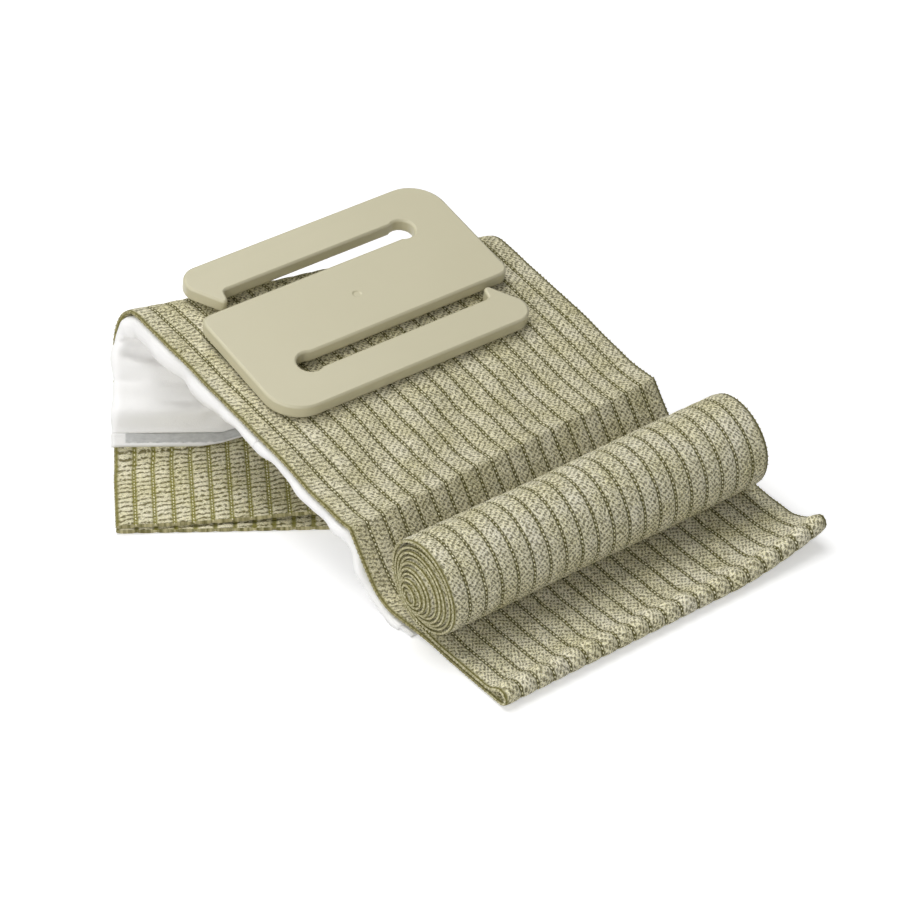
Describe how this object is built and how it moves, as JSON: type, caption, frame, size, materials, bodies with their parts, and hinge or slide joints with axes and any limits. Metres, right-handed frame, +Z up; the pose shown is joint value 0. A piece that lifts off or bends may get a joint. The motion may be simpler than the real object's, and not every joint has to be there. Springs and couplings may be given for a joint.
{
  "type": "emergency pressure dressing",
  "caption": "Partly unrolled elastic wrap with a folded white absorbent pad under it, a wound roll at the front and a moulded S-shaped closure plate with hooked slots.",
  "frame": {"origin": "on the floor under the middle of the wrap's flat floor run, by its front fold", "axes": "+X across the wrap, +Y from the front fold towards the folded pad, +Z up"},
  "size_m": [0.1373, 0.1567, 0.0418],
  "materials": {
    "pressure_plate": "moulded, satin",
    "wrap": "elastic rib knit",
    "pad_facing": "soft nonwoven",
    "pad_core": "fluffy wadding",
    "pad_backing": "thin nonwoven",
    "pad_hem": "heat-sealed, mottled"
  },
  "bodies": {
    "base": {"wrap_lead": "wrap", "pad_step_backing": "pad_backing", "pad_step_core": "pad_core", "pad_step_facing": "pad_facing", "pad_tip_hem": "pad_hem"},
    "dressing": {"wrap_front_panel": "wrap", "pad_front_backing": "pad_backing", "pad_front_core": "pad_core", "pad_front_facing": "pad_facing"},
    "back": {"wrap_back_panel": "wrap", "pad_back_backing": "pad_backing", "pad_back_core": "pad_core", "pad_back_facing": "pad_facing", "pad_end_hem": "pad_hem"},
    "tail": {"wrap_tail": "wrap", "wrap_tail_under": "wrap"},
    "plate": {"pressure_plate": "pressure_plate"},
    "roll": {"wrap_roll": "wrap"}
  },
  "joints": [
    {"name": "tent_lift", "type": "hinge", "parent": "base", "child": "dressing", "pos_m": [-0.0032, 0.0494, 0.0204], "axis": [0.9994, 0.0349, 0], "range_deg": [0, 60]},
    {"name": "ridge_unfold", "type": "hinge", "parent": "dressing", "child": "back", "pos_m": [-0.00415, 0.13229, 0.02917], "axis": [0.9734, -0.2244, -0.0451], "range_deg": [0, 140]},
    {"name": "tail_unfold", "type": "hinge", "parent": "back", "child": "tail", "pos_m": [-0.02307, 0.11201, 0.00285], "axis": [0.9847, -0.174, 0], "range_deg": [0, 38]},
    {"name": "plate_lift", "type": "slide", "parent": "dressing", "child": "plate", "axis": [0.006, -0.1718, 0.9851], "range_m": [0, 0.025]},
    {"name": "roll_lift", "type": "hinge", "parent": "base", "child": "roll", "pos_m": [0, -0.0113, 0.00135], "axis": [1, 0, 0], "range_deg": [0, 120]}
  ]
}
